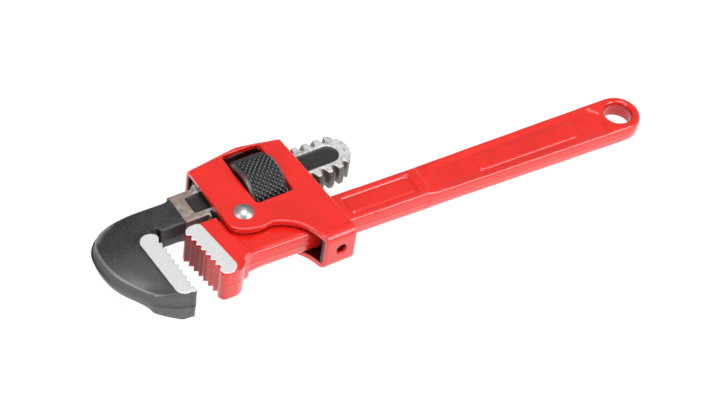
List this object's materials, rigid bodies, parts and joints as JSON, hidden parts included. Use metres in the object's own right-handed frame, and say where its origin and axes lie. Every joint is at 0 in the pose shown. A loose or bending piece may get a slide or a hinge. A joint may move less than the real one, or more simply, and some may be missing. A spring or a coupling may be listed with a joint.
{
  "type": "pipe wrench",
  "caption": "Adjustable pipe wrench with a forged handle and heel jaw, a threaded hook jaw, a pressed frame that rocks on a rivet, and a knurled adjusting nut.",
  "frame": {"origin": "centre of the hanging eye, halfway through the grip's thickness", "axes": "+Z through the eye, X along the handle with the jaws at -X, +Y from the handle towards the hook jaw's shank"},
  "size_m": [0.2545, 0.0646, 0.028],
  "materials": {
    "red_enamel": "glossy vermilion enamel over a forging or pressed sheet, heel jaw faces ground bare",
    "dark_forging": "dark grey phosphated forging, tooth pads and shank flats ground bright",
    "black_nut": "blackened steel, diamond knurl",
    "zinc_rivet": "polished zinc plate",
    "spring_steel": "oiled spring steel"
  },
  "bodies": {
    "handle": {"handle": "red_enamel", "coil_spring": "spring_steel"},
    "frame": {"frame": "red_enamel", "pivot_rivet": "zinc_rivet", "flat_spring": "spring_steel", "flat_spring_rivet": "zinc_rivet"},
    "hook_jaw": {"hook_jaw": "dark_forging"},
    "nut": {"adjusting_nut": "black_nut"}
  },
  "joints": [
    {"name": "frame_rock", "type": "hinge", "parent": "handle", "child": "frame", "pos_m": [-0.181, 0.0112, 0], "axis": [0, 0, 1], "range_deg": [-2, 3], "stiffness_Nm_per_rad": 60, "deforming": ["coil_spring"]},
    {"name": "jaw_slide", "type": "slide", "parent": "frame", "child": "hook_jaw", "axis": [-0.9994, -0.0349, 0], "range_m": [-0.009, 0.028]},
    {"name": "nut_spin", "type": "hinge", "parent": "frame", "child": "nut", "pos_m": [-0.16532, 0.02796, 0], "axis": [0.9994, 0.0349, 0], "range_deg": [-620, 1910]}
  ],
  "couplings": [
    {"joint": "nut_spin", "follows": "jaw_slide", "rad_per_m": 1185.5}
  ]
}
